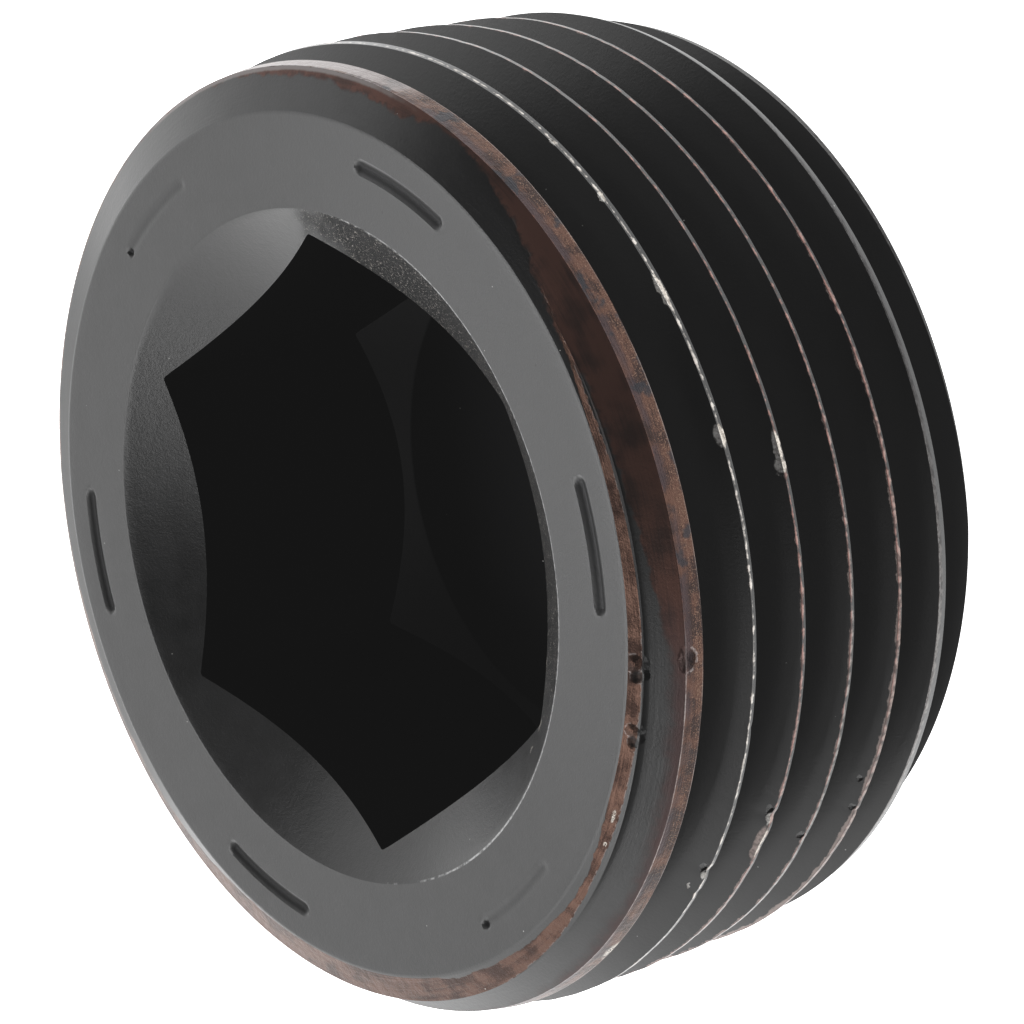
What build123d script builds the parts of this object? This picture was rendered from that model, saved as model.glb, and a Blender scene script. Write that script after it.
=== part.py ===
# Hex socket pipe plug: one piece of steel with a 3/4-14 taper pipe thread and a socket for a hexagon key.
#
# Millimetres, +Z up along the plug's axis. The origin is the middle of the small end, which is screwed in
# first, and the socket opens upwards in the large end. Two flats of the socket face +X and -X.

import os
from math import atan, ceil, cos, degrees, radians, tan

from build123d import *

# Blank
plug_length = 11.7
face_diameter = 24.0  # flat end around the socket, inside its chamfer
face_chamfer_angle = 24.0  # from the flat end
shoulder_diameter = 26.4  # where the chamfer meets the cone that the first crests are cut down to
shoulder_angle = 9.5  # from the axis
small_end_diameter = 25.6
lead_in_angle = 15.0  # from the axis

# Thread: a sharp ridge on a tapered core, right-handed
thread_pitch = 1.8143  # 14 threads to the inch
thread_taper = 1 / 16  # on the diameter
thread_depth_share = 0.76  # of the pitch
crest_flat_share = 0.07  # of the pitch
flank_angle = 30.0  # from the plane square to the axis
crest_diameter = 27.4  # at the plane of the flat end
crest_drop = 2.07  # from the flat end down to the first crest, on the +X side

# Socket
socket_across_flats = 14.95
socket_corner_depth = 7.5  # where the punched bevel starts at the six corners
socket_bevel_angle = 45.0  # from the axis
socket_floor_depth = 8.9
countersink_diameter = 18.8
countersink_angle = 113.0  # included

# Six dashes pressed into the flat end
dash_count = 6
dash_circle_diameter = 22.1
dash_arc = 17.0  # degrees between the centres of its round ends
dash_width = 0.42
dash_depth = 0.15
dash_turn = 4.4  # degrees past the middle of each flat

# Worked out from the sizes above
taper_per_side = thread_taper / 2
thread_depth = thread_depth_share * thread_pitch
crest_flat = crest_flat_share * thread_pitch
overrun = thread_pitch  # how far the raw core and ridge pass both ends before they are turned off
ridge_seat = crest_flat / 4  # how far the ridge's foot is sunk in the core
face_radius = face_diameter / 2
shoulder_radius = shoulder_diameter / 2
small_end_radius = small_end_diameter / 2
turning_radius = 0.51 * crest_diameter  # just outside the crests


def crest_radius(height):
    """Radius of the thread's crest at a height above the small end."""
    return crest_diameter / 2 - taper_per_side * (plug_length - height)


def root_radius(height):
    return crest_radius(height) - thread_depth


# The ridge starts at least one pitch below the small end and ends past the flat end
first_crest = plug_length - crest_drop
turns_below = ceil((first_crest + overrun) / thread_pitch)
ridge_start = first_crest - turns_below * thread_pitch
ridge_height = plug_length + overrun - ridge_start

corner_radius = socket_across_flats / 2 / cos(radians(30))
bevel_slope = 1 / tan(radians(socket_bevel_angle))
floor_radius = corner_radius - (socket_floor_depth - socket_corner_depth) / bevel_slope
bevel_outer_radius = 1.1 * corner_radius  # the bevel's cone is drawn out past the corners
bevel_rise = (bevel_outer_radius - corner_radius) * bevel_slope
countersink_slope = 1 / tan(radians(countersink_angle / 2))
core_bottom = ridge_start - overrun
core_top = plug_length + 2 * overrun

# The form of the punch that makes the socket: a hexagon with a bevel around its end
with BuildPart() as socket_form:
    with BuildSketch(Plane.XY.offset(plug_length)):
        RegularPolygon(radius=corner_radius, side_count=6, rotation=30)
    extrude(amount=-socket_floor_depth)
    with BuildSketch(Plane.XZ):
        with BuildLine():
            Polyline(
                (0, plug_length),
                (bevel_outer_radius, plug_length),
                (bevel_outer_radius, plug_length - socket_corner_depth + bevel_rise),
                (floor_radius, plug_length - socket_floor_depth),
                (0, plug_length - socket_floor_depth),
                close=True,
            )
        make_face()
    revolve(axis=Axis.Z, mode=Mode.INTERSECT)

with BuildPart() as plug_body:
    # Tapered core, up to the thread's root
    with BuildSketch(Plane.XZ):
        with BuildLine():
            Polyline(
                (0, core_bottom),
                (root_radius(core_bottom), core_bottom),
                (root_radius(core_top), core_top),
                (0, core_top),
                close=True,
            )
        make_face()
    revolve(axis=Axis.Z)

    # The ridge of the thread, swept along a conical helix
    with BuildLine() as crest_line:
        Helix(
            pitch=thread_pitch,
            height=ridge_height,
            radius=crest_radius(ridge_start),
            center=(0, 0, ridge_start),
            cone_angle=degrees(atan(taper_per_side)),
        )
    crest_half = crest_flat / 2
    foot_depth = thread_depth + ridge_seat
    foot_half = crest_half + foot_depth * tan(radians(flank_angle))
    crest_start = crest_line.line @ 0
    with BuildSketch(Plane(origin=crest_start, x_dir=(1, 0, 0), z_dir=crest_line.line % 0)):
        with BuildLine():
            Polyline(
                (0, -crest_half),
                (0, crest_half),
                (-foot_depth, foot_half),
                (-foot_depth, -foot_half),
                close=True,
            )
        make_face()
    sweep(path=crest_line.line, is_frenet=True)

    # Both ends are cut off square
    split(bisect_by=Plane.XY.offset(plug_length), keep=Keep.BOTTOM)
    split(bisect_by=Plane.XY, keep=Keep.TOP)

    # Both ends are turned over the thread, so its groove runs out through them: a chamfer and a
    # shoulder cone at the flat end, and the lead-in at the small end
    shoulder_drop = (shoulder_radius - face_radius) * tan(radians(face_chamfer_angle))
    cone_drop = (turning_radius - shoulder_radius) / tan(radians(shoulder_angle))
    lead_in_rise = (turning_radius - small_end_radius) / tan(radians(lead_in_angle))
    with BuildSketch(Plane.XZ):
        with BuildLine():
            Polyline(
                (face_radius, plug_length),
                (shoulder_radius, plug_length - shoulder_drop),
                (turning_radius, plug_length - shoulder_drop - cone_drop),
                (turning_radius, plug_length + overrun),
                (face_radius, plug_length + overrun),
                close=True,
            )
        make_face()
    revolve(axis=Axis.Z, mode=Mode.SUBTRACT)
    with BuildSketch(Plane.XZ):
        with BuildLine():
            Polyline(
                (small_end_radius, 0),
                (turning_radius, lead_in_rise),
                (turning_radius, -overrun),
                (small_end_radius, -overrun),
                close=True,
            )
        make_face()
    revolve(axis=Axis.Z, mode=Mode.SUBTRACT)

    add(socket_form.part, mode=Mode.SUBTRACT)

    # Countersink, which cuts the six scallops at the mouth
    with BuildSketch(Plane.XZ):
        with BuildLine():
            Polyline(
                (0, plug_length),
                (countersink_diameter / 2, plug_length),
                (0, plug_length - countersink_diameter / 2 * countersink_slope),
                close=True,
            )
        make_face()
    revolve(axis=Axis.Z, mode=Mode.SUBTRACT)

    # Six short arcs pressed into the flat end
    with BuildSketch(Plane.XY.offset(plug_length)):
        with PolarLocations(0, dash_count, start_angle=dash_turn):
            with BuildLine():
                dash_line = CenterArc((0, 0), dash_circle_diameter / 2, -dash_arc / 2, dash_arc)
            SlotArc(dash_line, dash_width)
    extrude(amount=-dash_depth, mode=Mode.SUBTRACT)

plug_body.part.label = "plug_body"
os.makedirs("parts", exist_ok=True)
export_step(plug_body.part, "parts/plug_body.step")
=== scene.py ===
"""The looks of a hex socket pipe plug: black oxide steel, worn brown and bare, on a white floor."""

from math import cos, pi, radians, sin, tan

import bpy
import numpy as np
from mathutils import Matrix, Vector


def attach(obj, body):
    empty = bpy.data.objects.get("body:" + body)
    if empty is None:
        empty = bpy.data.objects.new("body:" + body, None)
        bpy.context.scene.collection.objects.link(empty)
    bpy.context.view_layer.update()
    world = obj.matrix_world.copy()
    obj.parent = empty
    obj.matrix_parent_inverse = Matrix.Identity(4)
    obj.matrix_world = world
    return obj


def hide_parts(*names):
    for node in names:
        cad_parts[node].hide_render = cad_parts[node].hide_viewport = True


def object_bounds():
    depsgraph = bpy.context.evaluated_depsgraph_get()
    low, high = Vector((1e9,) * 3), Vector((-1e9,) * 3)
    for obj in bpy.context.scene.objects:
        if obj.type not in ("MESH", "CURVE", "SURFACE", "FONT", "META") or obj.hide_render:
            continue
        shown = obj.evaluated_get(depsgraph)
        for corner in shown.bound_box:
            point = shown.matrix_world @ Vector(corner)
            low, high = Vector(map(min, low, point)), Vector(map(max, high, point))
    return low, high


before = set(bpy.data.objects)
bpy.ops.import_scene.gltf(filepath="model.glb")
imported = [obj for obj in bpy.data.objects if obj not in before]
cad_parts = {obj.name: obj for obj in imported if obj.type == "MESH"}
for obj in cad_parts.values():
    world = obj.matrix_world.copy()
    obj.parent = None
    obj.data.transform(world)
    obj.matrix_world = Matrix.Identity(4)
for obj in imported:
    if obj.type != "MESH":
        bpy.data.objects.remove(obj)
cad_low, cad_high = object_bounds()

MM = 0.001
TAU = 2 * pi

# ---------------------------------------------------------------------------------------------
# Sizes of the plug, in millimetres, as its solid has them
# ---------------------------------------------------------------------------------------------
LENGTH = cad_high.z / MM
FACE_RADIUS = 12.0
FACE_CHAMFER = radians(24.0)  # from the flat end
SHOULDER_RADIUS = 13.2
SHOULDER_DROP = (SHOULDER_RADIUS - FACE_RADIUS) * tan(FACE_CHAMFER)
SHOULDER_CONE = radians(9.5)  # from the axis
SMALL_END_RADIUS = 12.8
LEAD_IN = radians(15.0)  # from the axis

PITCH = 1.8143
THREAD_RADIUS = 13.4  # for lengths along the thread
TAPER_PER_SIDE = 1 / 32
CREST_SINK = 0.006  # the crests lie this much lower than the solid's, to stay inside its box
CREST_RADIUS_AT_FACE = 13.7 - CREST_SINK
THREAD_DEPTH = 0.76 * PITCH
CREST_FLAT = 0.07 * PITCH
FLANK = radians(30.0)
FIRST_CREST = LENGTH - 2.07  # height of the first crest on the +X side
FIRST_RIDGE, LAST_RIDGE = -1, 7  # ridges counted from the flat end; 0 is the one cut down to the first land
LAST_RIDGE_AT_FLAT_END, FIRST_RIDGE_AT_SMALL_END = 1, 4  # those between stay clear of both cones

SOCKET_FLATS = 14.95
SOCKET_CORNER_DEPTH = 7.5
SOCKET_FLOOR_DEPTH = 8.9
SOCKET_CORNER_ROUND = 0.18
FLOOR_RADIUS = SOCKET_FLATS / 2 / cos(pi / 6) - (SOCKET_FLOOR_DEPTH - SOCKET_CORNER_DEPTH)
COUNTERSINK_RADIUS = 9.4
COUNTERSINK_TILT = radians(90 - 113.0 / 2)  # from the flat end
COUNTERSINK_SLOPE = tan(COUNTERSINK_TILT)
RIM_ROUND = 0.05  # reach of the rounding at the rim of the countersink

DASH_COUNT = 6
DASH_RADIUS = 11.05
DASH_HALF_ARC = radians(8.5)
DASH_HALF_WIDTH = 0.28
DASH_DEPTHS = (0.12, 0.12, 0.035, 0.12, 0.12, 0.035)  # from the one nearest +X on
DASH_TURN = radians(4.4)
DASH_PITS = ((115.8, 11.1), (313.4, 11.0))  # angle in degrees and radius of a small pit in each shallow dash
DASH_PIT_DEPTH, DASH_PIT_RADIUS = 0.12, 0.2
DASH_ROWS, DASH_ROWS_REACH = 11, 0.3  # rows of the mesh across the dashes, and how far they reach to each side
EDGE_ROUND = 0.06  # reach of the rounding at the rim of the flat end, along each side

# ---------------------------------------------------------------------------------------------
# Mesh fineness
# ---------------------------------------------------------------------------------------------
COLUMNS = 840  # around the plug, a multiple of twelve so that columns meet the socket's corners
SHARP_ANGLE = radians(17.5)  # edges that bend more are shaded sharp

# Zones of the surface, kept on every face for the materials
CHAMFER, CONE, LEAD, FRONT, CREST, BACK, ROOT, FACE, SINK, WALL, FLOOR, UNDER = range(12)


def wander(position, scale, seed):
    """Smooth repeatable noise between about -1 and 1 along a line, with features of the given scale."""
    x = np.asarray(position) / scale
    cell = np.floor(x).astype(np.int64)
    part = x - cell
    part = part * part * (3 - 2 * part)

    def draw(c):
        h = (c * 374761393 + seed * 668265263) & 0xFFFFFFFF
        h = ((h ^ (h >> 13)) * 1274126177) & 0xFFFFFFFF
        return ((h ^ (h >> 16)) & 0xFFFF) / 32767.5 - 1

    return draw(cell) * (1 - part) + draw(cell + 1) * part


def rough(position, scale, seed, octaves=3):
    """Noise of several scales added up."""
    total = np.zeros_like(np.asarray(position, float))
    for octave in range(octaves):
        total += wander(position, scale / 2**octave, seed + 17 * octave) / 1.7**octave
    return total / 1.6


# ---------------------------------------------------------------------------------------------
# Wear, placed by the angle around the plug in degrees
# ---------------------------------------------------------------------------------------------
# How far the red-brown stain reaches from the first land towards the flat end, in millimetres
STAIN = (
    (0, 0.0), (112, 0.05), (122, 0.22), (128, 0.32), (135, 0.25), (149, 0.35), (159, 0.45), (170, 0.5),
    (180, 0.8), (190, 1.0), (200, 1.1), (210, 1.25), (216, 1.08), (222, 0.72), (229, 0.46), (236, 0.15),
    (242, 0.16), (246, 0.40), (252, 0.52), (258, 0.42), (267, 0.36), (280, 0.2), (300, 0.05), (320, 0.0),
)
# Radii between which the chamfer is worn brown beside the runout of the thread
STRIP_INNER = (
    (0, 13.05), (40, 12.6), (60, 12.1), (80, 12.0), (100, 12.02), (106, 12.15), (111, 12.12), (127, 12.2),
    (134, 12.28), (141, 12.2), (147, 12.1), (152, 12.0), (196, 11.98), (203, 12.1), (208, 12.2), (214, 12.33),
    (217, 12.42), (230, 13.3),
)
STRIP_OUTER = (
    (0, 13.2), (40, 13.2), (75, 13.2), (92, 13.05), (104, 12.9), (111, 12.75), (119, 12.64), (127, 12.58),
    (134, 12.48), (141, 12.42), (150, 12.42), (180, 12.42), (196, 12.3), (203, 12.26), (208, 12.3), (214, 12.38),
    (217, 12.42), (230, 13.2),
)

LONG_WEAR, LONG_WAVE = 0.022, 2.2  # depth and length of the crests' uneven wear
SHORT_WEAR, SHORT_WAVE = 0.014, 0.4
WORN_FROM, WORN_OVER = 0.85, 0.15  # share of the ridge's height where this wear starts, and over which it grows
LAND_MARGIN = 0.05  # a ridge closer than this to the blank's surface is a land, and isn't worn so

# Dents knocked into the crests: angle in degrees, ridge from the flat end, reach along the crest and depth in
# millimetres
CREST_DENTS = {
    "bruise_high": (233.4, 1, 0.15, 0.03),
    "bruise_upper": (224.2, 1, 0.12, 0.03),
    "bruise_middle": (193.9, 1, 0.22, 0.04),
    "gouge": (140.6, 1, 0.16, 0.06),
    "scrape": (136.8, 1, 0.14, 0.04),
    "bite": (146.5, 2, 0.2, 0.06),
    "flat": (141.6, 2, 0.4, 0.04),
    "chip_low": (139.9, 3, 0.11, 0.03),
    "chip_right": (141.8, 4, 0.13, 0.04),
    "knock": (160.7, 1, 0.12, 0.04),
}


def by_angle(table, angle):
    """Reads a table of angle and value pairs all around the plug."""
    degrees, values = zip(*table)
    return np.interp(np.degrees(angle) % 360, degrees, values, period=360)


# ---------------------------------------------------------------------------------------------
# The outer side: chamfer, thread and lead-in
# ---------------------------------------------------------------------------------------------
def crest_radius(height):
    return CREST_RADIUS_AT_FACE - TAPER_PER_SIDE * (LENGTH - height)


def crest_damage(along):
    """How far the crest is knocked down at a place along the thread, in millimetres."""
    worn = LONG_WEAR * np.clip(rough(along, LONG_WAVE, 11) - 0.1, 0, 1)
    worn = worn + SHORT_WEAR * np.clip(rough(along, SHORT_WAVE, 23, 2), 0, 1)
    for angle, ridge, reach, depth in CREST_DENTS.values():
        away = (along - THREAD_RADIUS * (radians(angle) - TAU * ridge)) / reach
        worn = np.maximum(worn, depth * np.exp(-away * away))
    return worn


def blank_radius(height):
    """Radius of the turned blank at a height, with no thread: chamfer, shoulder cone and lead-in."""
    drop = LENGTH - height
    chamfer = FACE_RADIUS + drop / tan(FACE_CHAMFER)
    cone = SHOULDER_RADIUS + (drop - SHOULDER_DROP) * tan(SHOULDER_CONE)
    lead = SMALL_END_RADIUS + height * tan(LEAD_IN)
    return np.minimum(np.minimum(chamfer, cone), lead)


def thread_radius(height, angle):
    """Radius of the thread at a height and an angle, without wear."""
    crest = FIRST_CREST + PITCH * angle / TAU
    away = np.abs((height - crest + PITCH / 2) % PITCH - PITCH / 2)
    fall = np.clip((away - CREST_FLAT / 2) / tan(FLANK), 0, THREAD_DEPTH)
    return crest_radius(height) - fall


BLANK_LINES = (  # radius at height 0 and growth with height, of the three straight parts of the blank
    (FACE_RADIUS + LENGTH / tan(FACE_CHAMFER), -1 / tan(FACE_CHAMFER)),
    (SHOULDER_RADIUS + (LENGTH - SHOULDER_DROP) * tan(SHOULDER_CONE), -tan(SHOULDER_CONE)),
    (SMALL_END_RADIUS, tan(LEAD_IN)),
)


def crossings(z_a, z_b, r_a, r_b):
    """Where a straight piece of the thread's section dips under the blank and comes out, as shares of it.

    The blank's section bulges outwards, so the piece is under it between these two places only."""
    start, end = np.zeros_like(z_a), np.ones_like(z_a)
    for foot, growth in BLANK_LINES:
        over_a = r_a - foot - growth * z_a
        over_b = r_b - foot - growth * z_b
        meet = over_a / np.where(over_a == over_b, 1, over_a - over_b)
        start = np.where(over_a > 0, np.maximum(start, np.where(over_b > 0, 1, meet)), start)
        end = np.where((over_a <= 0) & (over_b > 0), np.minimum(end, meet), end)
    never = start >= end
    return np.where(never, 1, start), np.where(never, 1, end)


def side_rows(angle):
    """Rows of the outer side from the flat end down to the small end, for an array of angles.

    Each is a height, the thread's own radius, the zone below the row, the unwound angle of its ridge and the
    distance across the ridge from its crest. Every piece of the thread's section is parted where it dips under
    the blank, and where the blank has its shoulder, so these edges are exact."""
    rows = []
    foot = CREST_FLAT / 2 + THREAD_DEPTH * tan(FLANK)
    reach = THREAD_DEPTH / cos(FLANK)  # length of a flank
    steps = {FRONT: (0, 0.5, 0.85), CREST: (0, 0.5), BACK: (0, 0.5), ROOT: (0,)}
    shoulder = LENGTH - SHOULDER_DROP
    for ridge in range(FIRST_RIDGE, LAST_RIDGE + 1):
        turn = angle - TAU * ridge
        middle = FIRST_CREST + PITCH * turn / TAU
        marks = [
            (middle + foot, True, -reach),
            (middle + CREST_FLAT / 2, False, -CREST_FLAT / 2),
            (middle - CREST_FLAT / 2, False, CREST_FLAT / 2),
            (middle - foot, True, reach),
            (middle - PITCH + foot, True, reach + 0.1),
        ]
        at_small_end = ridge >= FIRST_RIDGE_AT_SMALL_END
        parted = ridge <= LAST_RIDGE_AT_FLAT_END or at_small_end
        for index, zone in enumerate((FRONT, CREST, BACK, ROOT)):
            (z_a, low_a, across_a), (z_b, low_b, across_b) = marks[index], marks[index + 1]
            r_a = crest_radius(z_a) - THREAD_DEPTH * low_a
            r_b = crest_radius(z_b) - THREAD_DEPTH * low_b
            shares = [(t + 0 * angle, zone) for t in steps[zone]]
            if parted:
                start, end = crossings(z_a, z_b, r_a, r_b)
                bend = np.minimum(np.clip((z_a - shoulder) / (z_a - z_b), 0, 1), start)
                shares = [(bend * t, CHAMFER) for t in (0, 0.5)]
                shares += [(bend + (start - bend) * t, CONE) for t in (0, 0.5)]
                shares += [(start + (end - start) * t, zone) for t in steps[zone]]
                shares += [(end + (1 - end) * t, LEAD if at_small_end else CONE) for t in (0, 0.5)]
            for t, below in shares:
                z, r = z_a + (z_b - z_a) * t, r_a + (r_b - r_a) * t
                rows.append((z, r, below, turn, across_a + (across_b - across_a) * t))
    return rows


# What each face's corner keeps for the materials: the thread's unwound angle, the height over the blank, the
# distances across the ridge and inland of the first land, the radius, and the reach of the stain and the strip
VALUES = ("turn", "over", "across", "inland", "radius", "stain", "strip_inner", "strip_outer")


class Surface:
    """Collects the vertices, faces and values of one closed mesh."""

    def __init__(self):
        self.points, self.faces, self.zones, self.winds, self.values = [], [], [], [], []
        self.count = 0

    def grid(self, x, y, z, zone, **values):
        """Adds a grid of rows by columns. zone is one number or one per row gap and column gap.

        Only the outer side's faces look out of the metal. Those of both ends and of the socket look into it."""
        rows, columns = x.shape
        self.points.append(np.stack([x, y, z], -1).reshape(-1, 3))
        values = {"radius": np.hypot(x, y), **values}
        columns_of_values = [np.broadcast_to(values.get(n, 0.0), x.shape).astype(float) for n in VALUES]
        self.values.append(np.stack(columns_of_values, -1).reshape(-1, len(VALUES)))
        at = self.count + np.arange(rows * columns).reshape(rows, columns)
        quads = np.stack([at[:-1, :-1], at[1:, :-1], at[1:, 1:], at[:-1, 1:]], -1).reshape(-1, 4)
        self.faces.append(quads)
        self.zones.append(np.broadcast_to(zone, (rows - 1, columns - 1)).reshape(-1))
        wind = np.broadcast_to(values.get("turn", 0.0), x.shape) / TAU
        self.winds.append(((wind[:-1, :-1] + wind[:-1, 1:]) / 2).reshape(-1))
        self.count += rows * columns


surface = Surface()
angles = np.linspace(0, TAU, COLUMNS + 1)


def add_side():
    rows = side_rows(angles)
    z, r, turn, across = (np.stack([row[i] for row in rows]) for i in (0, 1, 3, 4))
    zone = np.array([row[2] for row in rows])[:-1, None]
    top = LENGTH - EDGE_ROUND * sin(FACE_CHAMFER)
    above, below = z > top, z < 0
    # Above the flat end and below the small end, rows gather on the rims
    rim = np.minimum(thread_radius(np.zeros_like(angles), angles), SMALL_END_RADIUS)
    z = np.clip(z, 0, top)
    blank = blank_radius(z)
    lift = np.clip((r - crest_radius(z) + THREAD_DEPTH) / THREAD_DEPTH, 0, 1)
    clear = np.clip((blank - r) / LAND_MARGIN, 0, 1)  # away from the lands, where the ridge keeps its own crest
    r = r - crest_damage(THREAD_RADIUS * turn) * np.clip((lift - WORN_FROM) / WORN_OVER, 0, 1) * clear
    over = np.where(above, 1.0, np.where(below, rim - SMALL_END_RADIUS, r - blank))
    r = np.where(below, rim[None], np.minimum(r, blank))
    r = np.where(above, FACE_RADIUS + EDGE_ROUND * cos(FACE_CHAMFER), r)
    # How far each place lies from the first land's inner edge, in the section of its own angle
    middle = FIRST_CREST + PITCH * angles / TAU
    foot = CREST_FLAT / 2 + THREAD_DEPTH * tan(FLANK)
    z_a, z_b = middle + foot, middle + CREST_FLAT / 2
    r_a, r_b = crest_radius(z_a) - THREAD_DEPTH, crest_radius(z_b)
    start, end = crossings(z_a, z_b, r_a, r_b)
    shoulder = LENGTH - SHOULDER_DROP
    edge_z = np.where(start < end, np.minimum(z_a + (z_b - z_a) * end, shoulder), shoulder)
    inland = np.sign(z - edge_z) * np.hypot(z - edge_z, r - blank_radius(edge_z))
    surface.grid(
        r * np.cos(angles), r * np.sin(angles), z, zone,
        turn=turn, over=over, across=across, inland=inland, stain=by_angle(STAIN, angles),
        strip_inner=by_angle(STRIP_INNER, angles), strip_outer=by_angle(STRIP_OUTER, angles),
    )


def dash_fall(radius, angle):
    """How deep the pressed dashes are at a place on the flat end."""
    step = TAU / DASH_COUNT
    index = np.round((angle - DASH_TURN) / step).astype(int) % DASH_COUNT
    off = np.abs((angle - DASH_TURN + step / 2) % step - step / 2)
    along = np.maximum(off - DASH_HALF_ARC, 0) * DASH_RADIUS
    away = np.hypot(along, radius - DASH_RADIUS)
    fall = np.array(DASH_DEPTHS)[index] * np.cos(np.clip(away / DASH_HALF_WIDTH, 0, 1) * pi / 2) ** 2
    for degrees, pit_radius in DASH_PITS:
        off = (angle - radians(degrees) + pi) % TAU - pi
        away = np.hypot(off * pit_radius, radius - pit_radius)
        fall = np.maximum(fall, DASH_PIT_DEPTH * np.cos(np.clip(away / DASH_PIT_RADIUS, 0, 1) * pi / 2) ** 2)
    return fall


def add_face():
    # Rows gather at the two rims and across the dashes
    radii = np.concatenate([
        [FACE_RADIUS + EDGE_ROUND * cos(FACE_CHAMFER), FACE_RADIUS, FACE_RADIUS - EDGE_ROUND, 11.6],
        np.linspace(DASH_RADIUS + DASH_ROWS_REACH, DASH_RADIUS - DASH_ROWS_REACH, DASH_ROWS),
        [10.4, 9.9, COUNTERSINK_RADIUS + 0.12, COUNTERSINK_RADIUS + RIM_ROUND, COUNTERSINK_RADIUS],
    ])
    r, a = np.meshgrid(radii, angles, indexing="ij")
    z = LENGTH - dash_fall(r, a)
    z[0] = LENGTH - EDGE_ROUND * sin(FACE_CHAMFER)
    z[1] = LENGTH - EDGE_ROUND * tan(FACE_CHAMFER / 4)
    z[-1] = LENGTH - RIM_ROUND * tan(COUNTERSINK_TILT / 4)
    surface.grid(r * np.cos(a), r * np.sin(a), z, FACE)


def socket_radius(angle):
    """Distance from the axis to the socket's wall, with a small round in each corner."""
    half = SOCKET_FLATS / 2
    off = np.abs((angle + pi / 6) % (pi / 3) - pi / 6)
    straight = half / np.cos(off)
    corner = half / cos(pi / 6)
    # The round: a circle of SOCKET_CORNER_ROUND tangent to both walls
    centre = corner - SOCKET_CORNER_ROUND / cos(pi / 6)
    beta = pi / 6 - off
    under = SOCKET_CORNER_ROUND**2 - (centre * np.sin(beta)) ** 2
    arc = centre * np.cos(beta) + np.sqrt(np.maximum(under, 0))
    return np.where((under > 0) & (arc < straight) & (beta < SOCKET_CORNER_ROUND / centre), arc, straight)


def add_socket():
    wall = socket_radius(angles)
    # Countersink, from its rim to the wall
    start = COUNTERSINK_RADIUS - RIM_ROUND * cos(COUNTERSINK_TILT)
    t = np.array([0, 0, 0.1, 0.4, 0.8, 1.0])[:, None]
    r = start + (wall - start) * t
    r[0] = COUNTERSINK_RADIUS
    z = LENGTH - (COUNTERSINK_RADIUS - r) * COUNTERSINK_SLOPE
    z[0] = LENGTH - RIM_ROUND * tan(COUNTERSINK_TILT / 4)
    surface.grid(r * np.cos(angles), r * np.sin(angles), z, SINK)
    # Walls, down to the bevel around the floor
    corner = SOCKET_FLATS / 2 / cos(pi / 6)
    foot = LENGTH - SOCKET_CORNER_DEPTH - (corner - wall)
    t = np.array([0, 0.1, 0.5, 0.9, 1.0])[:, None]
    z = z[-1] + (foot - z[-1]) * t
    r = np.broadcast_to(wall, z.shape)
    surface.grid(r * np.cos(angles), r * np.sin(angles), z, WALL)
    # Bevel and floor
    flat = np.full_like(angles, FLOOR_RADIUS)
    r = np.stack([wall, (wall + flat) / 2, flat, flat * 0.5, flat * 0.1, flat * 0])
    z = np.maximum(LENGTH - SOCKET_CORNER_DEPTH - (corner - r), LENGTH - SOCKET_FLOOR_DEPTH)
    surface.grid(r * np.cos(angles), r * np.sin(angles), z, FLOOR)


def add_under():
    rim = np.minimum(thread_radius(np.zeros_like(angles), angles), SMALL_END_RADIUS)
    t = np.array([1, 0.95, 0.6, 0.2, 0])[:, None]
    r = rim * t
    surface.grid(r * np.cos(angles), r * np.sin(angles), np.zeros_like(r), UNDER)
    surface.faces[-1] = surface.faces[-1][:, ::-1]


add_side()
add_face()
add_socket()
add_under()


def weld(points, faces, zones, winds, values):
    """Joins vertices at one place and drops faces with no area.

    The values stay apart, one set for each corner of each face."""
    key = np.round(points, 5)
    _, first, to = np.unique(key, axis=0, return_index=True, return_inverse=True)
    to = to.reshape(-1)
    kept, kept_faces, from_vertex = [], [], []
    for index, (quad, old) in enumerate(zip(to[faces].tolist(), faces.tolist())):
        corners = [(v, o) for i, (v, o) in enumerate(zip(quad, old)) if v not in quad[:i]]
        if len(corners) >= 3:
            kept.append([v for v, _ in corners])
            kept_faces.append(index)
            from_vertex.extend(o for _, o in corners)
    return points[first], kept, zones[kept_faces], winds[kept_faces], values[from_vertex]


parts = (surface.points, surface.faces, surface.zones, surface.winds, surface.values)
points, faces, zones, winds, values = weld(*(np.concatenate(part) for part in parts))
mesh = bpy.data.meshes.new("plug")
mesh.from_pydata((points * MM).tolist(), [], faces)
for name, column in zip(VALUES, values.T):
    attribute = mesh.attributes.new(name, "FLOAT", "CORNER")
    attribute.data.foreach_set("value", np.ascontiguousarray(column, np.float32))
mesh.attributes.new("zone", "FLOAT", "FACE").data.foreach_set("value", zones.astype(np.float32))
mesh.validate(verbose=False)
plug = bpy.data.objects.new("plug", mesh)
bpy.context.scene.collection.objects.link(plug)
bpy.context.view_layer.objects.active = plug
mesh.polygons.foreach_set("use_smooth", np.ones(len(mesh.polygons), bool))
# Each face takes one of three finishes: the end with its socket, the chamfer with the first land, and the thread
END, LAND, THREAD = range(3)
LAND_END_WIND = -0.04  # turns of the thread from where the first land's finish ends
on_end = (zones == FACE) | (zones == SINK) | (zones == WALL) | (zones == FLOOR) | (zones == UNDER)
finish = np.where(on_end, END, np.where(winds > LAND_END_WIND, LAND, THREAD))
mesh.set_sharp_from_angle(angle=SHARP_ANGLE)


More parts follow.
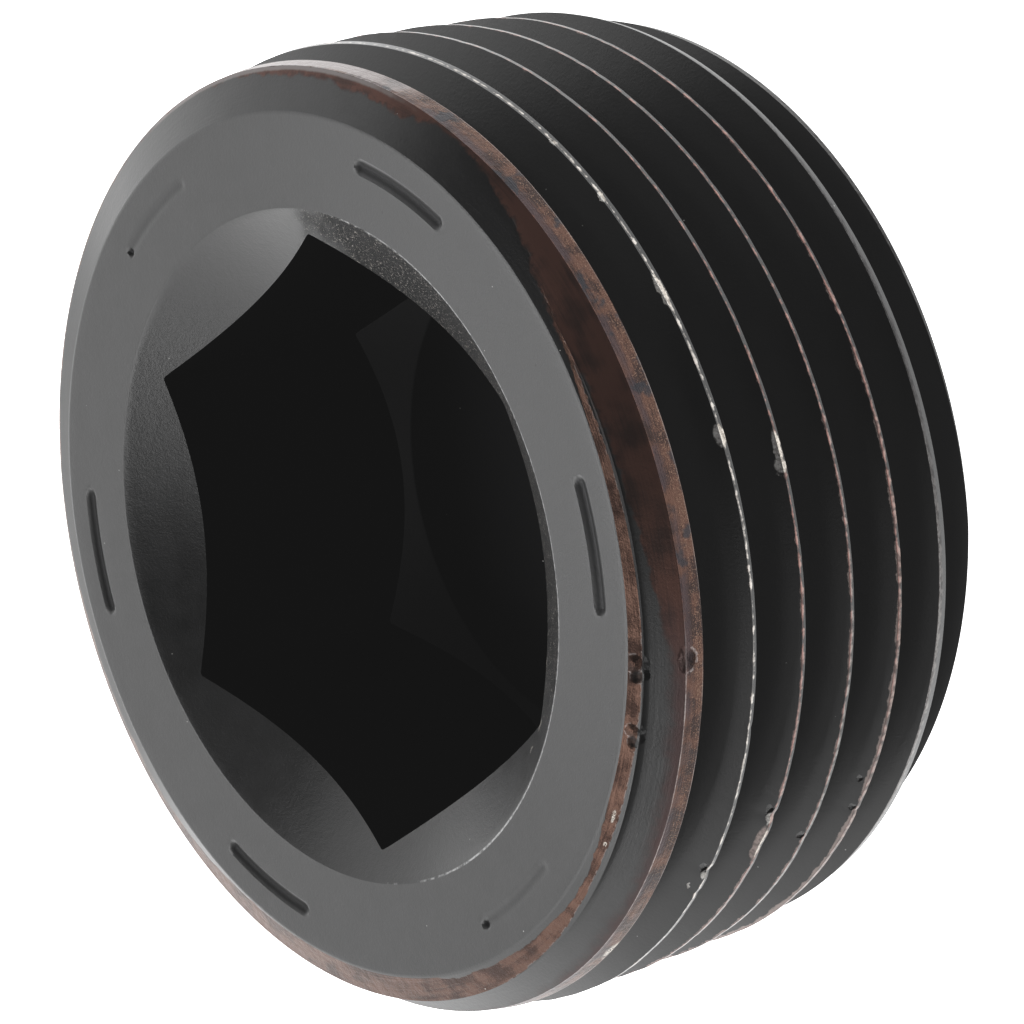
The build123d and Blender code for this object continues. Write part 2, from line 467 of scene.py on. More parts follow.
class Paint:
    """A material whose nodes are written as expressions. A value is a number or the output of another node."""

    def __init__(self, name):
        self.material = bpy.data.materials.new(name)
        self.material.use_nodes = True
        self.nodes = self.material.node_tree.nodes
        self.shader = self.nodes["Principled BSDF"]

    def connect(self, value, socket):
        if isinstance(value, bpy.types.NodeSocket):
            self.material.node_tree.links.new(value, socket)
        else:
            socket.default_value = value

    def math(self, operation, *values, clamp=False):
        made = self.nodes.new("ShaderNodeMath")
        made.operation, made.use_clamp = operation, clamp
        for value, socket in zip(values, made.inputs):
            self.connect(value, socket)
        return made.outputs[0]

    def add(self, *values):
        total = values[0]
        for value in values[1:]:
            total = self.math("ADD", total, value)
        return total

    def times(self, *values):
        total = values[0]
        for value in values[1:]:
            total = self.math("MULTIPLY", total, value)
        return total

    def most(self, a, b):
        return self.math("MAXIMUM", a, b)

    def least(self, a, b):
        return self.math("MINIMUM", a, b)

    def value(self, name):
        made = self.nodes.new("ShaderNodeAttribute")
        made.attribute_name = name
        return made.outputs["Fac"]

    def span(self, value, low, high, to_low=0.0, to_high=1.0):
        """0 below low and 1 above high, smooth between; low may be the greater one."""
        made = self.nodes.new("ShaderNodeMapRange")
        made.interpolation_type = "SMOOTHSTEP"
        for item, socket in zip((value, low, high, to_low, to_high), made.inputs):
            self.connect(item, socket)
        return made.outputs[0]

    def noise(self, place, scale, detail=2.0, roughness=0.5):
        made = self.nodes.new("ShaderNodeTexNoise")
        self.connect(place, made.inputs["Vector"])
        self.connect(scale, made.inputs["Scale"])
        made.inputs["Detail"].default_value = detail
        made.inputs["Roughness"].default_value = roughness
        return made.outputs["Fac"]

    def specks(self, place, scale, size, share):
        """Small round specks, on a share of the cells of a pattern."""
        made = self.nodes.new("ShaderNodeTexVoronoi")
        self.connect(place, made.inputs["Vector"])
        made.inputs["Scale"].default_value = scale
        pick = self.math("GREATER_THAN", share, self.separate(made.outputs["Color"]))
        return self.times(self.span(made.outputs["Distance"], size, size * 0.4), pick)

    def separate(self, colour, channel=0):
        made = self.nodes.new("ShaderNodeSeparateColor")
        self.connect(colour, made.inputs[0])
        return made.outputs[channel]

    def vector(self, x, y, z):
        made = self.nodes.new("ShaderNodeCombineXYZ")
        for value, socket in zip((x, y, z), made.inputs):
            self.connect(value, socket)
        return made.outputs[0]

    def scaled(self, vector, by):
        made = self.nodes.new("ShaderNodeVectorMath")
        made.operation = "SCALE"
        self.connect(vector, made.inputs[0])
        made.inputs["Scale"].default_value = by
        return made.outputs[0]

    def blend(self, amount, a, b):
        """A colour, or a number, between a and b."""
        made = self.nodes.new("ShaderNodeMix")
        colours = any(isinstance(item, tuple) for item in (a, b)) or getattr(a, "type", "") == "RGBA"
        made.data_type = "RGBA" if colours else "FLOAT"
        first = 6 if colours else 2
        self.connect(amount, made.inputs[0])
        for value, socket in ((a, made.inputs[first]), (b, made.inputs[first + 1])):
            self.connect((*value, 1.0) if isinstance(value, tuple) else value, socket)
        return made.outputs[2 if colours else 0]

    def ramp(self, value, stops):
        """A colour ramp, from place and colour pairs."""
        made = self.nodes.new("ShaderNodeValToRGB")
        ramp = made.color_ramp
        while len(ramp.elements) < len(stops):
            ramp.elements.new(0.5)
        for element, (place, colour) in zip(ramp.elements, stops):
            element.position = place
            element.color = (*colour, 1.0)
        self.connect(value, made.inputs[0])
        return made.outputs["Color"]

    def vector_math(self, operation, a, b):
        made = self.nodes.new("ShaderNodeVectorMath")
        made.operation = operation
        self.connect(a, made.inputs[0])
        self.connect(b, made.inputs[1])
        return made

    def dot(self, a, b):
        return self.vector_math("DOT_PRODUCT", a, b).outputs["Value"]

    def shifted(self, vector, by):
        return self.vector_math("ADD", vector, by).outputs[0]

    def distance(self, place, middle, halves):
        """Distance from the middle of an oval, 1 at its edge."""
        offset = self.shifted(place, tuple(-m for m in middle))
        part = self.vector_math("MULTIPLY", offset, tuple(1 / h for h in halves)).outputs[0]
        made = self.nodes.new("ShaderNodeVectorMath")
        made.operation = "LENGTH"
        self.connect(part, made.inputs[0])
        return made.outputs["Value"]


# Colours, as linear light. Most worn places are metal, tinted by what is left of the oxide.
OXIDE_DARK = (0.0014, 0.0014, 0.0016)
OXIDE_LIGHT = (0.0075, 0.0075, 0.0078)
# Near black, laid as painted shade in the socket, the dashes and on one side of the countersink and the chamfer
PAINTED_SHADE_BLACK = (0.008, 0.008, 0.0085)
# Lighter tone painted on the flat end's upper right, painted light
FACE_PAINTED_LIGHT = (0.028, 0.028, 0.029)
DUST = (0.50, 0.50, 0.48)
LAND_DARK = (0.026, 0.016, 0.014)
LAND_BROWN = (0.074, 0.038, 0.027)
LAND_TAN = (0.170, 0.108, 0.075)
LAND_PURPLE = (0.040, 0.028, 0.030)
LAND_GREY = (0.190, 0.172, 0.168)
LAND_BLUE = (0.020, 0.021, 0.025)
LAND_PALE = (0.260, 0.225, 0.215)
STAIN_RED = (0.092, 0.042, 0.031)
STAIN_DARK = (0.028, 0.017, 0.015)
STAIN_MAROON = (0.060, 0.030, 0.030)
STRIP_DARK = (0.036, 0.018, 0.013)
STRIP_TAN = (0.120, 0.066, 0.048)
SILVER = (0.44, 0.42, 0.39)
CREST_RED = (0.26, 0.17, 0.15)
CREST_GREY = (0.20, 0.19, 0.18)
CREST_BROWN = (0.21, 0.165, 0.150)
CREST_DIM = (0.050, 0.047, 0.047)
CREST_FRINGE = (0.150, 0.065, 0.055)
SCRAPE = (0.42, 0.39, 0.35)
PATCH_GREY = (0.15, 0.145, 0.14)
PATCH_BARE = (0.55, 0.53, 0.50)
PATCH_DULL = (0.34, 0.33, 0.32)
WORN_FLAT = (0.34, 0.265, 0.240)
BARE_FLANK = (0.36, 0.29, 0.265)
RIM_GREY = (0.40, 0.40, 0.40)
NICK_DARK = (0.006, 0.005, 0.005)

TURNS_BELOW = 6.0  # turns of the thread from its first crest down to the place that counts as 0 below
# Colour and half width in millimetres of the bare crests, along the thread from 0, at the small end, to 1
CREST_COLOURS = (
    (0.0, CREST_DIM), (0.15, CREST_DIM), (0.17, CREST_GREY), (0.20, CREST_GREY), (0.218, CREST_DIM),
    (0.30, CREST_DIM), (0.325, CREST_BROWN), (0.345, CREST_BROWN), (0.369, CREST_RED), (0.455, CREST_RED),
    (0.476, CREST_GREY), (0.49, CREST_GREY), (0.512, CREST_RED), (0.60, CREST_RED), (0.615, CREST_BROWN),
    (0.65, CREST_RED), (0.69, CREST_RED), (0.73, SILVER), (1.0, SILVER),
)
CREST_WIDTHS = (
    (0.0, 0.05), (0.19, 0.06), (0.25, 0.06), (0.31, 0.05), (0.333, 0.11), (0.350, 0.08), (0.369, 0.035),
    (0.42, 0.015), (0.45, 0.05), (0.476, 0.065), (0.495, 0.05), (0.512, 0.02), (0.56, 0.012), (0.59, 0.045),
    (0.619, 0.06), (0.640, 0.035), (0.66, 0.012), (0.70, 0.012), (0.73, 0.02), (1.0, 0.014),
)

# Marks on the thread: angle in degrees, ridge from the flat end, place across it (minus is nearer that end),
# half length, half width and depth in millimetres (minus stands up), and colour; NICK_DARK is painted shade in a
# nick
THREAD_MARKS = {
    "silver_patch": (211.2, 1, -0.08, 0.62, 0.13, 0.0, PATCH_BARE),
    "bruise_high": (233.4, 1, -0.08, 0.16, 0.11, 0.02, PATCH_BARE),
    "bruise_upper": (224.2, 1, -0.08, 0.18, 0.11, 0.02, PATCH_BARE),
    "bruise_middle": (194.2, 1, -0.08, 0.34, 0.20, 0.02, PATCH_DULL),
    "gouge": (141.0, 1, -0.20, 0.17, 0.10, 0.10, NICK_DARK),
    "gouge_burr": (139.9, 1, -0.12, 0.18, 0.07, -0.03, PATCH_BARE),
    "scrape": (137.4, 1, -0.32, 0.14, 0.06, 0.02, PATCH_BARE),
    "teardrop": (191.2, 2, -0.07, 0.56, 0.13, 0.01, PATCH_DULL),
    "teardrop_foot": (189.4, 2, -0.09, 0.24, 0.20, 0.02, PATCH_DULL),
    "bite": (147.3, 2, -0.20, 0.18, 0.10, 0.10, NICK_DARK),
    "bite_lip": (146.0, 2, -0.12, 0.24, 0.08, -0.02, PATCH_BARE),
    "worn_flat": (142.2, 2, -0.12, 0.70, 0.16, 0.02, WORN_FLAT),
    "chip_low": (140.5, 3, -0.15, 0.11, 0.09, 0.08, NICK_DARK),
    "chip_right": (142.3, 4, -0.18, 0.14, 0.10, 0.08, NICK_DARK),
    "chip_above": (146.6, 4, -0.30, 0.14, 0.08, 0.06, NICK_DARK),
}

# Dents in the first land and the strip beside it: angle in degrees, radius, depth below the flat end, half
# length around the plug, half width and depth of the dent in millimetres (minus stands up), and the painted
# shade in its hollow
LAND_DENTS = {
    "strip_lump": (169.8, 12.20, 0.09, 0.26, 0.26, -0.12, 0.0),
    "strip_hollow": (168.2, 12.30, 0.13, 0.20, 0.20, 0.12, 0.8),
    "strip_lump_low": (161.0, 12.27, 0.12, 0.20, 0.20, -0.10, 0.0),
    "strip_hollow_low": (159.6, 12.34, 0.15, 0.20, 0.16, 0.10, 0.8),
    "land_arc": (170.6, 13.24, 0.90, 0.36, 0.16, 0.10, 0.3),
}
# Bare spots: angle in degrees, radius, depth below the flat end, half length around the plug and half width
BARE_SPOTS = {
    "strip_silver": (148.6, 12.28, 0.13, 0.24, 0.06),
    "strip_silver_low": (144.3, 12.32, 0.14, 0.09, 0.06),
    "land_scrape": (126.6, 13.42, 1.7, 0.60, 0.14),
    "socket_burr": (149.8, 8.62, 0.52, 0.24, 0.07),
    "socket_burr_low": (144.0, 8.60, 0.56, 0.14, 0.06),
    "socket_burr_high": (160.0, 8.0, 0.93, 0.20, 0.05),
}


class Oxide(Paint):
    """What the three finishes share: places in millimetres, noises and black oxide itself."""

    def __init__(self, name, ior=1.6):
        super().__init__(name)
        self.shader.inputs["IOR"].default_value = ior
        self.place = self.scaled(self.nodes.new("ShaderNodeTexCoord").outputs["Object"], 1 / MM)
        self.zone = self.value("zone")
        self.radius = self.value("radius")
        self.grain = self.noise(self.place, 11.0, 2.0, 0.6)
        self.fine = self.noise(self.place, 26.0, 1.0, 0.6)
        self.mottle = self.noise(self.place, 1.3, 2.0, 0.55)
        self.ragged = self.noise(self.place, 4.5, 2.0, 0.6)
        self.jitter = self.math("SUBTRACT", self.ragged, 0.5)
        self.swing = self.math("SUBTRACT", self.mottle, 0.5)
        uneven = self.add(self.times(self.mottle, 0.6), self.times(self.grain, 0.4))
        self.colour = self.blend(self.span(uneven, 0.3, 0.7), OXIDE_DARK, OXIDE_LIGHT)
        self.gloss = self.add(0.27, self.times(self.mottle, 0.06), self.times(self.fine, 0.04))
        self.metal = 0.0
        self.relief = self.times(self.grain, 0.004)

    def is_zone(self, *numbers):
        found = [self.math("COMPARE", self.zone, float(number), 0.4) for number in numbers]
        return self.math("MINIMUM", self.add(*found), 1.0)

    def facing(self, degrees):
        """1 on the side of the plug at this angle and -1 on the other side."""
        towards = (cos(radians(degrees)), sin(radians(degrees)), 0)
        return self.math("DIVIDE", self.dot(self.place, towards), self.most(self.radius, 0.1))

    def lay(self, amount, colour, metal=None, gloss=None):
        """Lays a colour over what is there, and its metal and gloss where given."""
        self.colour = self.blend(amount, self.colour, colour)
        if metal is not None:
            self.metal = self.blend(amount, self.metal, metal)
        if gloss is not None:
            self.gloss = self.blend(amount, self.gloss, gloss)

    def streaks(self, along, across):
        """Fine lines that run along the thread."""
        lined = self.vector(self.times(along, 0.3), self.times(across, 10.0), self.radius)
        return self.noise(lined, 1.0, 2.0, 0.6)

    def dent(self, away, depth):
        self.relief = self.add(self.relief, self.times(self.span(away, 1.1, 0.1), -depth))

    def oval(self, angle, at_radius, down, half_long, half_wide):
        """How far a place lies from the middle of an oval mark that runs around the plug, 1 at its edge."""
        x, y = cos(radians(angle)), sin(radians(angle))
        wobble = self.vector(self.times(self.jitter, 0.12), self.times(self.swing, 0.12), 0.0)
        offset = self.shifted(self.shifted(self.place, wobble), (-at_radius * x, -at_radius * y, down - LENGTH))
        around = self.math("DIVIDE", self.dot(offset, (-y, x, 0)), half_long)
        outward = self.math("DIVIDE", self.dot(offset, (x, y, 0)), half_wide)
        upward = self.math("DIVIDE", self.dot(offset, (0, 0, 1)), 2.5 * half_wide)
        return self.distance(self.vector(around, outward, upward), (0, 0, 0), (1, 1, 1))

    def bare_spots(self, names):
        for name in names:
            inside = self.span(self.oval(*BARE_SPOTS[name]), 1.0, 0.6)
            inside = self.times(inside, self.span(self.add(self.fine, self.ragged), 0.80, 1.05))
            self.lay(inside, SCRAPE, metal=0.9)

    def dust(self):
        """Specks of light dust, and a few dark pits."""
        self.lay(self.times(self.specks(self.place, 1.7, 0.045, 0.2), 0.8), DUST)
        pits = self.specks(self.shifted(self.place, (3.3, 1.7, 0.6)), 1.1, 0.06, 0.25)
        self.lay(self.times(pits, 0.8), NICK_DARK)

    def finished(self):
        bump = self.nodes.new("ShaderNodeBump")
        bump.inputs["Strength"].default_value = 1.0
        bump.inputs["Distance"].default_value = MM
        self.connect(self.relief, bump.inputs["Height"])
        self.connect(self.colour, self.shader.inputs["Base Color"])
        self.connect(self.metal, self.shader.inputs["Metallic"])
        self.connect(self.gloss, self.shader.inputs["Roughness"])
        self.connect(bump.outputs[0], self.shader.inputs["Normal"])
        return self.material


def end_finish():
    """The flat end, the countersink and the socket."""
    put = Oxide("oxide_end")
    # The socket's wall and floor are painted near black, painted shade in the hollow; the bevel around the floor
    # keeps a little of the plain oxide
    in_socket = put.is_zone(WALL, FLOOR)
    bevel = put.times(put.is_zone(FLOOR), put.span(put.radius, FLOOR_RADIUS, FLOOR_RADIUS + 0.05))
    put.lay(in_socket, PAINTED_SHADE_BLACK, metal=1.0, gloss=0.5)
    put.lay(put.times(bevel, 0.3), OXIDE_LIGHT, metal=0.0)
    # The upper right of the countersink is painted dark, painted shade there, with bright grains
    painted_shade_side = put.span(put.add(put.facing(210.0), put.times(put.swing, 0.2)), 0.46, 0.66)
    painted_shade_sink = put.times(put.is_zone(SINK), painted_shade_side)
    put.lay(painted_shade_sink, PAINTED_SHADE_BLACK, metal=1.0, gloss=0.45)
    coarse = put.span(put.add(put.times(put.fine, 0.5), put.times(put.grain, 0.5)), 0.56, 0.66)
    put.lay(put.times(painted_shade_sink, coarse, 0.8), SCRAPE, metal=0.0)
    # The dashes are painted darker than the face around them, painted shade in their hollows
    down = put.math("SUBTRACT", LENGTH, put.separate(put.place, 2))
    off = put.math("ABSOLUTE", put.math("SUBTRACT", put.radius, DASH_RADIUS))
    in_dash = put.times(put.span(down, 0.01, 0.08), put.span(off, 0.45, 0.38))
    put.lay(put.times(in_dash, put.is_zone(FACE), 0.75), PAINTED_SHADE_BLACK, metal=1.0, gloss=0.5)
    # The flat end is painted lighter towards its upper right, painted light
    painted_light_face = put.times(put.is_zone(FACE), put.span(put.facing(210.0), 0.2, 1.0))
    put.lay(painted_light_face, FACE_PAINTED_LIGHT)
    put.relief = put.add(
        put.relief, put.times(put.fine, 0.004), put.times(put.ragged, 0.005),
        put.times(painted_shade_sink, put.fine, 0.015),
    )
    # The rim of the countersink: rubbed bright here and there, and a painted highlight on its side towards 180
    # degrees
    off = put.math("ABSOLUTE", put.math("SUBTRACT", put.radius, COUNTERSINK_RADIUS - 0.02))
    rubbed_and_highlit = put.times(
        put.span(put.add(off, put.times(put.jitter, 0.04)), 0.045, 0.015), put.is_zone(FACE, SINK),
        put.span(put.add(put.facing(180.0), put.times(put.jitter, 1.2)), 0.1, 0.6),
        put.span(put.grain, 0.35, 0.55, 0.4, 1.0),
    )
    put.lay(rubbed_and_highlit, RIM_GREY, metal=0.9)
    put.bare_spots(("socket_burr", "socket_burr_low", "socket_burr_high"))
    put.dust()
    return put.finished()


def land_finish():
    """The chamfer, the first land, the runout of the thread and the stain between them."""
    put = Oxide("oxide_land")
    over, across, inland = (put.value(n) for n in ("over", "across", "inland"))
    along = put.times(put.value("turn"), THREAD_RADIUS)
    streak = put.streaks(along, across)
    cloud = put.noise(put.place, 0.6, 2.0, 0.55)

    on_cone = put.times(
        put.span(put.add(inland, put.times(put.jitter, 0.12)), 0.02, -0.02),
        put.span(put.add(over, put.times(put.jitter, 0.05)), -0.03, 0.0),
    )
    ragged_inland = put.add(inland, put.times(put.jitter, 0.14), put.times(put.swing, 0.5))
    reach = put.math("SUBTRACT", put.value("stain"), ragged_inland)
    low_side = put.span(put.facing(120.0), 0.50, 0.72)
    stained = put.times(
        put.span(reach, put.times(low_side, -0.15), put.span(low_side, 0.0, 1.0, 0.12, 0.40)),
        put.math("GREATER_THAN", inland, -0.1),
    )
    ragged_radius = put.add(put.radius, put.times(put.jitter, 0.10), put.times(put.swing, 0.12))
    inner = put.math("SUBTRACT", ragged_radius, put.value("strip_inner"))
    outer = put.math("SUBTRACT", put.value("strip_outer"), put.add(put.radius, put.times(put.jitter, 0.08)))
    strip = put.times(put.span(put.least(inner, outer), -0.01, 0.02), put.is_zone(CHAMFER))

    # The chamfer is painted dark on its upper right beside the stain, painted shade
    chamfer_shade_side = put.span(put.add(put.facing(215.0), put.times(put.swing, 0.12)), 0.80, 0.97)
    put.lay(put.times(put.is_zone(CHAMFER), chamfer_shade_side, 0.7), PAINTED_SHADE_BLACK, metal=1.0)
    # Its left side is duller
    dull = put.times(put.is_zone(CHAMFER), put.span(put.facing(0.0), 0.6, 0.95))
    put.gloss = put.blend(dull, put.gloss, 0.6)

    patches = put.add(put.times(cloud, 0.55), put.times(put.mottle, 0.25), put.times(streak, 0.2))
    stain_colour = put.blend(put.span(patches, 0.38, 0.52, 0.25, 1.0), STAIN_DARK, STAIN_RED)
    stain_colour = put.blend(put.times(low_side, 0.8), stain_colour, STAIN_MAROON)
    edge = put.times(put.span(reach, 0.24, 0.08), put.span(put.ragged, 0.4, 0.6))
    stain_colour = put.blend(put.times(edge, 0.6), stain_colour, STAIN_DARK)
    put.lay(put.times(stained, put.span(low_side, 0.0, 1.0, 1.0, 0.75)), stain_colour, metal=0.8)
    top_side = put.span(put.add(put.facing(276.0), put.times(put.swing, 0.1)), 0.86, 0.96)
    beside_land = put.span(put.add(inland, put.times(put.jitter, 0.05)), 0.16, 0.08)
    put.lay(put.times(top_side, beside_land), LAND_GREY, metal=0.9)

    tone = put.add(put.times(streak, 0.25), put.times(put.mottle, 0.55), put.times(put.fine, 0.20))
    colour = put.blend(put.span(tone, 0.42, 0.56), LAND_DARK, LAND_BROWN)
    # The side away from the flat end is lighter
    outward = put.span(put.add(across, put.times(put.jitter, 0.3)), -0.40, 0.10)
    purple = put.times(put.span(outward, 1.0, 0.0), put.span(cloud, 0.42, 0.54), 0.8)
    colour = put.blend(purple, colour, LAND_PURPLE)
    bright = put.span(put.add(put.fine, put.times(streak, 0.3), put.times(outward, 0.20)), 0.88, 1.06)
    colour = put.blend(put.times(bright, 0.6), colour, LAND_TAN)
    blue = put.span(put.add(put.noise(put.place, 0.9, 3.0, 0.55), put.times(put.jitter, 0.1)), 0.53, 0.60)
    colour = put.blend(put.times(blue, put.span(low_side, 0.0, 1.0, 0.85, 0.35)), colour, LAND_BLUE)
    colour = put.blend(put.times(top_side, put.span(outward, 0.0, 0.5)), colour, LAND_GREY)
    # Edges that catch the light, where the oxide is rubbed off
    rubbed_and_highlit = put.span(put.add(over, put.times(put.jitter, 0.06)), 0.07, 0.02)
    rubbed_and_highlit = put.times(rubbed_and_highlit, put.span(streak, 0.35, 0.6), put.most(low_side, put.times(outward, 0.5)))
    colour = put.blend(put.times(rubbed_and_highlit, 0.8), colour, LAND_PALE)
    put.lay(on_cone, colour, metal=0.9)

    colour = put.blend(put.span(tone, 0.40, 0.58), STRIP_DARK, STRIP_TAN)
    # A pale line along the strip's outer edge, partly rubbed metal and partly painted highlight
    rubbed_and_highlit = put.span(put.math("ABSOLUTE", put.add(outer, put.times(put.jitter, 0.1))), 0.05, 0.015)
    colour = put.blend(put.times(rubbed_and_highlit, put.span(put.ragged, 0.45, 0.6), 0.7), colour, LAND_PALE)
    colour = put.blend(put.span(put.facing(85.0), 0.4, 1.0, 0.0, 0.35), colour, STRIP_DARK)
    put.lay(strip, colour, metal=0.9)
    worn = put.most(on_cone, strip)
    put.gloss = put.blend(worn, put.gloss, put.add(0.34, put.times(put.grain, 0.18)))

    rough_rust = put.add(
        put.times(put.ragged, 0.02), put.times(put.fine, 0.008), put.times(streak, 0.008), -0.02,
    )
    lined = put.times(put.math("SUBTRACT", streak, 0.5), 0.003)
    put.relief = put.add(put.relief, lined, put.times(worn, rough_rust))
    for *where, depth, hollow_shade in LAND_DENTS.values():
        away = put.oval(*where)
        # Each dent gets a pale lip, partly rubbed metal and partly painted highlight, and painted shade in its
        # hollow where given
        lip = put.span(put.math("ABSOLUTE", put.math("SUBTRACT", away, 1.0)), 0.16, 0.04)
        put.lay(put.times(lip, worn, put.span(put.ragged, 0.48, 0.6), 0.6), LAND_PALE)
        put.lay(put.times(put.span(away, 1.0, 0.6), hollow_shade), NICK_DARK)
        put.dent(away, depth)
    put.bare_spots(("strip_silver", "strip_silver_low", "land_scrape"))
    put.dust()
    return put.finished()


def thread_finish():
    """The thread: black flanks, and crests worn silver on the second ridge, then red-brown, brown and grey."""
    put = Oxide("oxide_thread", ior=1.54)
    put.colour = put.blend(put.span(put.value("turn"), -4.2 * TAU, -5.0 * TAU), OXIDE_DARK, OXIDE_LIGHT)
    over, across, turn = (put.value(n) for n in ("over", "across", "turn"))
    wind = put.math("DIVIDE", turn, TAU)
    along = put.times(turn, THREAD_RADIUS)
    thread_place = put.vector(along, across, 0.0)
    patchy = put.noise(thread_place, 1.1, 4.0, 0.7)
    shade = put.noise(thread_place, 3.2, 2.0, 0.6)

    share = put.math("DIVIDE", put.math("ADD", wind, TURNS_BELOW), TURNS_BELOW + 1.0, clamp=True)
    colour = put.ramp(share, CREST_COLOURS)
    width = put.separate(put.ramp(share, tuple((at, (wide,) * 3) for at, wide in CREST_WIDTHS)))
    off_crest = put.math("ABSOLUTE", put.add(across, 0.03, put.times(put.jitter, 0.05)))
    wear = put.add(
        width, put.times(put.math("SUBTRACT", patchy, 0.5), 0.26),
        put.times(put.math("SUBTRACT", shade, 0.5), 0.12),
    )
    inside = put.math("SUBTRACT", wear, off_crest)
    bare = put.times(put.span(inside, -0.02, 0.02), put.is_zone(FRONT, CREST, CONE))
    fringe = put.times(
        put.span(put.add(across, put.times(put.jitter, 0.05)), -0.015, -0.045),
        put.span(share, 0.74, 0.68, 0.2, 0.8),
    )
    colour = put.blend(put.times(fringe, put.span(share, 0.32, 0.36)), colour, CREST_FRINGE)
    colour = put.blend(put.span(shade, 0.38, 0.62), put.blend(0.75, colour, OXIDE_LIGHT), colour)
    on_flank = put.span(across, -0.06, -0.09)
    bare_metal = put.span(on_flank, 0.0, 1.0, 0.9, 0.1)
    colour = put.blend(put.times(on_flank, 0.8), colour, BARE_FLANK)
    put.lay(bare, colour, metal=bare_metal, gloss=0.36)

    # The last ridge is cut down by the lead-in cone, and worn grey with a ragged edge
    streak = put.streaks(along, across)
    lead = put.times(put.is_zone(LEAD), put.span(over, -0.01, 0.01))
    ragged_edge = put.span(put.add(over, put.times(put.jitter, 0.25)), 0.0, 0.06)
    tone = put.span(put.add(put.times(streak, 0.6), put.times(put.grain, 0.4)), 0.40, 0.60)
    grey = put.blend(tone, LAND_DARK, PATCH_GREY)
    grey = put.blend(put.span(put.facing(130.0), 0.35, 0.85), NICK_DARK, grey)
    put.lay(lead, put.blend(ragged_edge, NICK_DARK, grey), metal=0.85, gloss=0.45)
    put.relief = put.add(put.relief, put.times(lead, put.ragged, 0.05))

    warped = put.shifted(thread_place, put.vector(put.times(put.jitter, 0.34), put.times(put.jitter, 0.16), 0.0))
    for angle, ridge, beside, half_long, half_wide, depth, tint in THREAD_MARKS.values():
        middle = (THREAD_RADIUS * (radians(angle) - TAU * ridge), beside, 0.0)
        away = put.distance(warped, middle, (half_long, half_wide, 1.0))
        # Nicks are painted near black, painted shade in the hollow
        if tint == NICK_DARK:
            put.lay(put.span(away, 1.0, 0.6), tint, metal=0.0)
        else:
            tone = put.blend(on_flank, SCRAPE, tint)
            tone = put.blend(put.span(put.grain, 0.35, 0.60, 0.45, 1.0), LAND_DARK, tone)
            put.lay(put.span(away, 1.0, 0.7), tone, metal=bare_metal)
        if depth:
            put.dent(away, depth)
    put.dust()
    return put.finished()


for make in (end_finish, land_finish, thread_finish):
    mesh.materials.append(make())
mesh.polygons.foreach_set("material_index", finish.astype(np.int32))
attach(plug, "root")
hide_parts("plug_body")

# ---------------------------------------------------------------------------------------------
# Floor, light and camera
# ---------------------------------------------------------------------------------------------
FLOOR_SIZE = 6.0
FLOOR_WHITE = (0.93, 0.93, 0.93, 1)
FLOOR_GLOW = 1.6
WORLD_GLOW = 0.02
VEIL = -0.0075  # black level of the view

bpy.ops.mesh.primitive_plane_add(size=FLOOR_SIZE, location=(0, 0, 0))
floor = bpy.context.object
floor.name = "studio_floor"
floor_paint = bpy.data.materials.new("studio_white")
floor_paint.use_nodes = True
floor_shader = floor_paint.node_tree.nodes["Principled BSDF"]
floor_shader.inputs["Base Color"].default_value = FLOOR_WHITE
floor_shader.inputs["Roughness"].default_value = 0.9
# The floor is lit from below, like a light table, so that it is white beside the dark steel
floor_shader.inputs["Emission Color"].default_value = (1, 1, 1, 1)
floor_shader.inputs["Emission Strength"].default_value = FLOOR_GLOW
floor.data.materials.append(floor_paint)

world = bpy.data.worlds.new("studio")
bpy.context.scene.world = world
world.use_nodes = True
world.node_tree.nodes["Background"].inputs["Color"].default_value = (1, 1, 1, 1)
world.node_tree.nodes["Background"].inputs["Strength"].default_value = WORLD_GLOW
view = bpy.context.scene.view_settings
view.view_transform = "Standard"
# A little veil over the blacks, as a bright backdrop gives it
view.use_curve_mapping = True
view.curve_mapping.black_level = (VEIL, VEIL, VEIL)
view.curve_mapping.update()

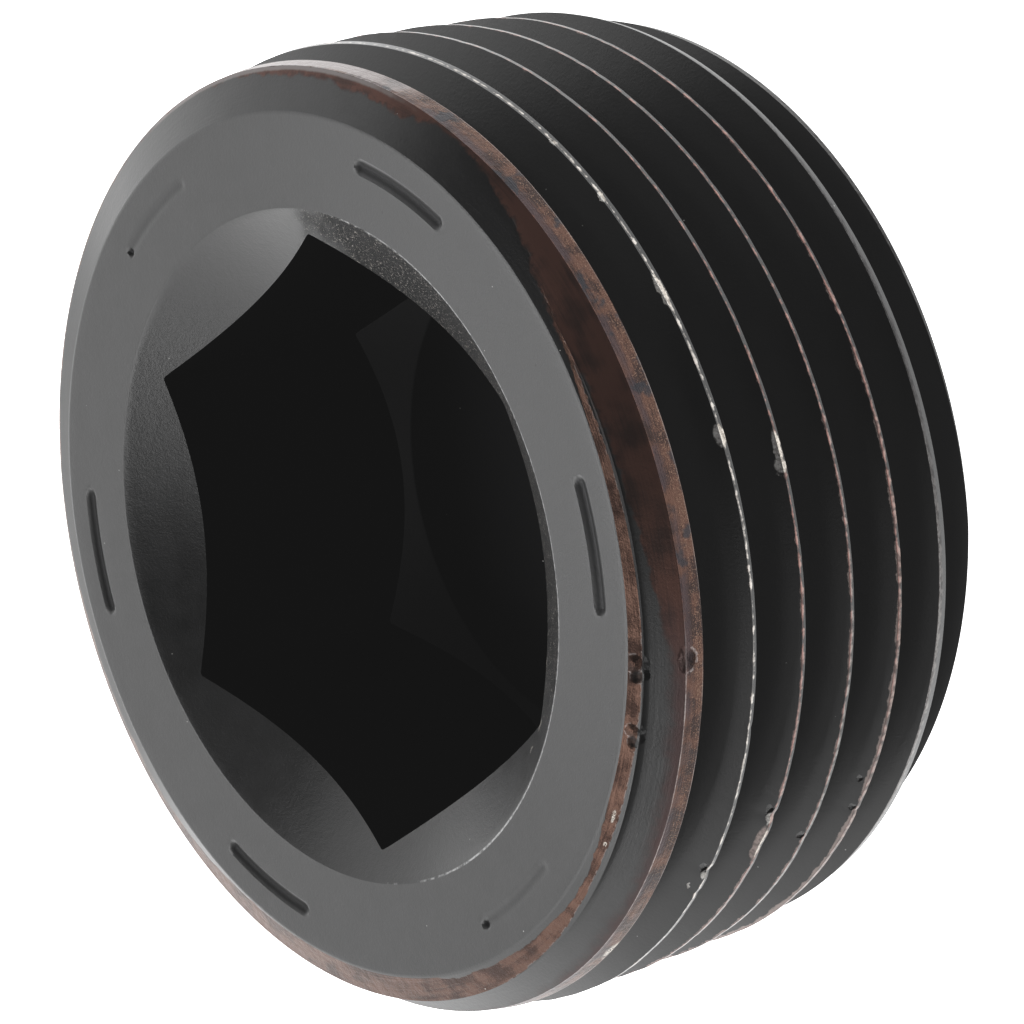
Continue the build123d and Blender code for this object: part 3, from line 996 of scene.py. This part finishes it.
# Soft boxes a metre from the plug: bearing and height in degrees, width and height in metres, brightness
SOFT_BOXES = {
    "horizon_far": (0, 9, 0.80, 0.29, 1.7),
    "horizon_near_right": (-90, 9, 0.80, 0.29, 0.385),
    "horizon_right": (-45, 9, 0.80, 0.29, 2.16),
    "horizon_left": (45, 9, 0.80, 0.29, 2.81),
    "horizon_side": (90, 9, 0.80, 0.29, 0.42),
    "wall_far": (0, 31, 0.68, 0.45, 1.4),
    "wall_right": (-45, 31, 0.68, 0.45, 1.11),
    "wall_left": (45, 31, 0.68, 0.45, 1.79),
    "wall_side": (90, 31, 0.68, 0.45, 1.35),
    "wall_near": (180, 31, 0.68, 0.45, 1.31),
    "high_far": (0, 60, 0.50, 0.50, 3.3),
    "high_left": (60, 60, 0.50, 0.50, 3.5),
    "high_near": (120, 60, 0.50, 0.50, 0.46),
    "high_right": (-90, 60, 0.50, 0.50, 0.2),
}
for name, (bearing, height, wide, tall, brightness) in SOFT_BOXES.items():
    bearing, height = radians(bearing), radians(height)
    towards = Vector((cos(bearing) * cos(height), sin(bearing) * cos(height), sin(height)))
    light = bpy.data.lights.new(name, "AREA")
    light.shape = "RECTANGLE"
    light.size, light.size_y = wide, tall
    light.energy = pi * wide * tall * brightness
    box = bpy.data.objects.new(name, light)
    box.location = towards
    box.rotation_euler = (-towards).to_track_quat("-Z", "Y").to_euler()
    bpy.context.scene.collection.objects.link(box)

# Camera: turned about its own axis so that the plug lies across the picture as it does in the photograph
CAMERA_RIGHT = Vector((-0.64501, 0.11197, -0.75593))
CAMERA_DOWN = Vector((-0.06391, 0.97784, 0.19938))
CAMERA_AHEAD = Vector((0.7615, 0.17691, -0.62355))
FACE_FROM_CAMERA = Vector((-4.9394, 1.0108, 143.4642))  # the middle of the flat end, in the camera's axes
LENS = 185.10
SENSOR = 36.0
offset = (
    CAMERA_RIGHT * FACE_FROM_CAMERA.x + CAMERA_DOWN * FACE_FROM_CAMERA.y + CAMERA_AHEAD * FACE_FROM_CAMERA.z
)
place = (Vector((0, 0, LENGTH)) - offset) * MM
camera_data = bpy.data.cameras.new("camera")
camera_data.lens = LENS
camera_data.sensor_width = SENSOR
camera_data.clip_start = 0.001
camera = bpy.data.objects.new("camera", camera_data)
axes = Matrix((CAMERA_RIGHT, -CAMERA_DOWN, -CAMERA_AHEAD)).transposed()
camera.matrix_world = Matrix.Translation(place) @ axes.to_4x4()
bpy.context.scene.collection.objects.link(camera)
bpy.context.scene.camera = camera
